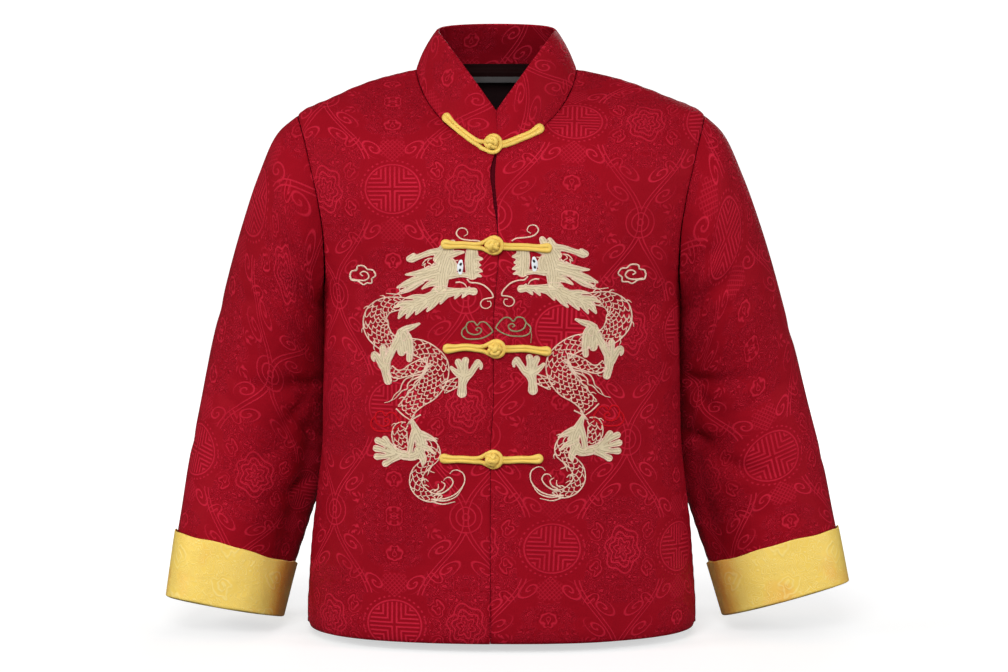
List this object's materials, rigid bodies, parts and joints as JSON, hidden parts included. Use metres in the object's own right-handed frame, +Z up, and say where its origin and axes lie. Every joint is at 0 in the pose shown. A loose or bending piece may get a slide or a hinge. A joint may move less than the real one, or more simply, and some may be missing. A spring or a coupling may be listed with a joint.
{
  "type": "padded tang jacket",
  "caption": "Child's padded stand-collar jacket in red damask with turned-back gold cuffs and knotted cord fastenings, filled out as if worn.",
  "frame": {"origin": "middle of the neck, level with the points where the shoulder seams reach the collar, where the wearer's neck passes", "axes": "+Z up along the body, the front faces -Y, +X towards the viewer's right (the wearer's left)"},
  "size_m": [0.579, 0.206, 0.5049],
  "materials": {
    "red_damask": "silky tone-on-tone damask",
    "gold_damask": "silky tone-on-tone damask",
    "gold_cord": "satin bias-strip cord",
    "dark_lining": "smooth lining",
    "dark_red_band": "smooth"
  },
  "bodies": {
    "root": {"front_right": "red_damask", "front_left": "red_damask", "back": "red_damask", "sleeve_right": "red_damask", "sleeve_left": "red_damask", "collar": "red_damask", "cuff_right": "gold_damask", "cuff_left": "gold_damask", "underlap": "dark_lining", "lining_back": "dark_lining", "neck_facing": "dark_red_band", "frog_1_knot": "gold_cord", "frog_1_loop": "gold_cord", "frog_2_knot": "gold_cord", "frog_2_loop": "gold_cord", "frog_3_knot": "gold_cord", "frog_3_loop": "gold_cord", "frog_4_knot": "gold_cord", "frog_4_loop": "gold_cord"}
  },
  "joints": []
}
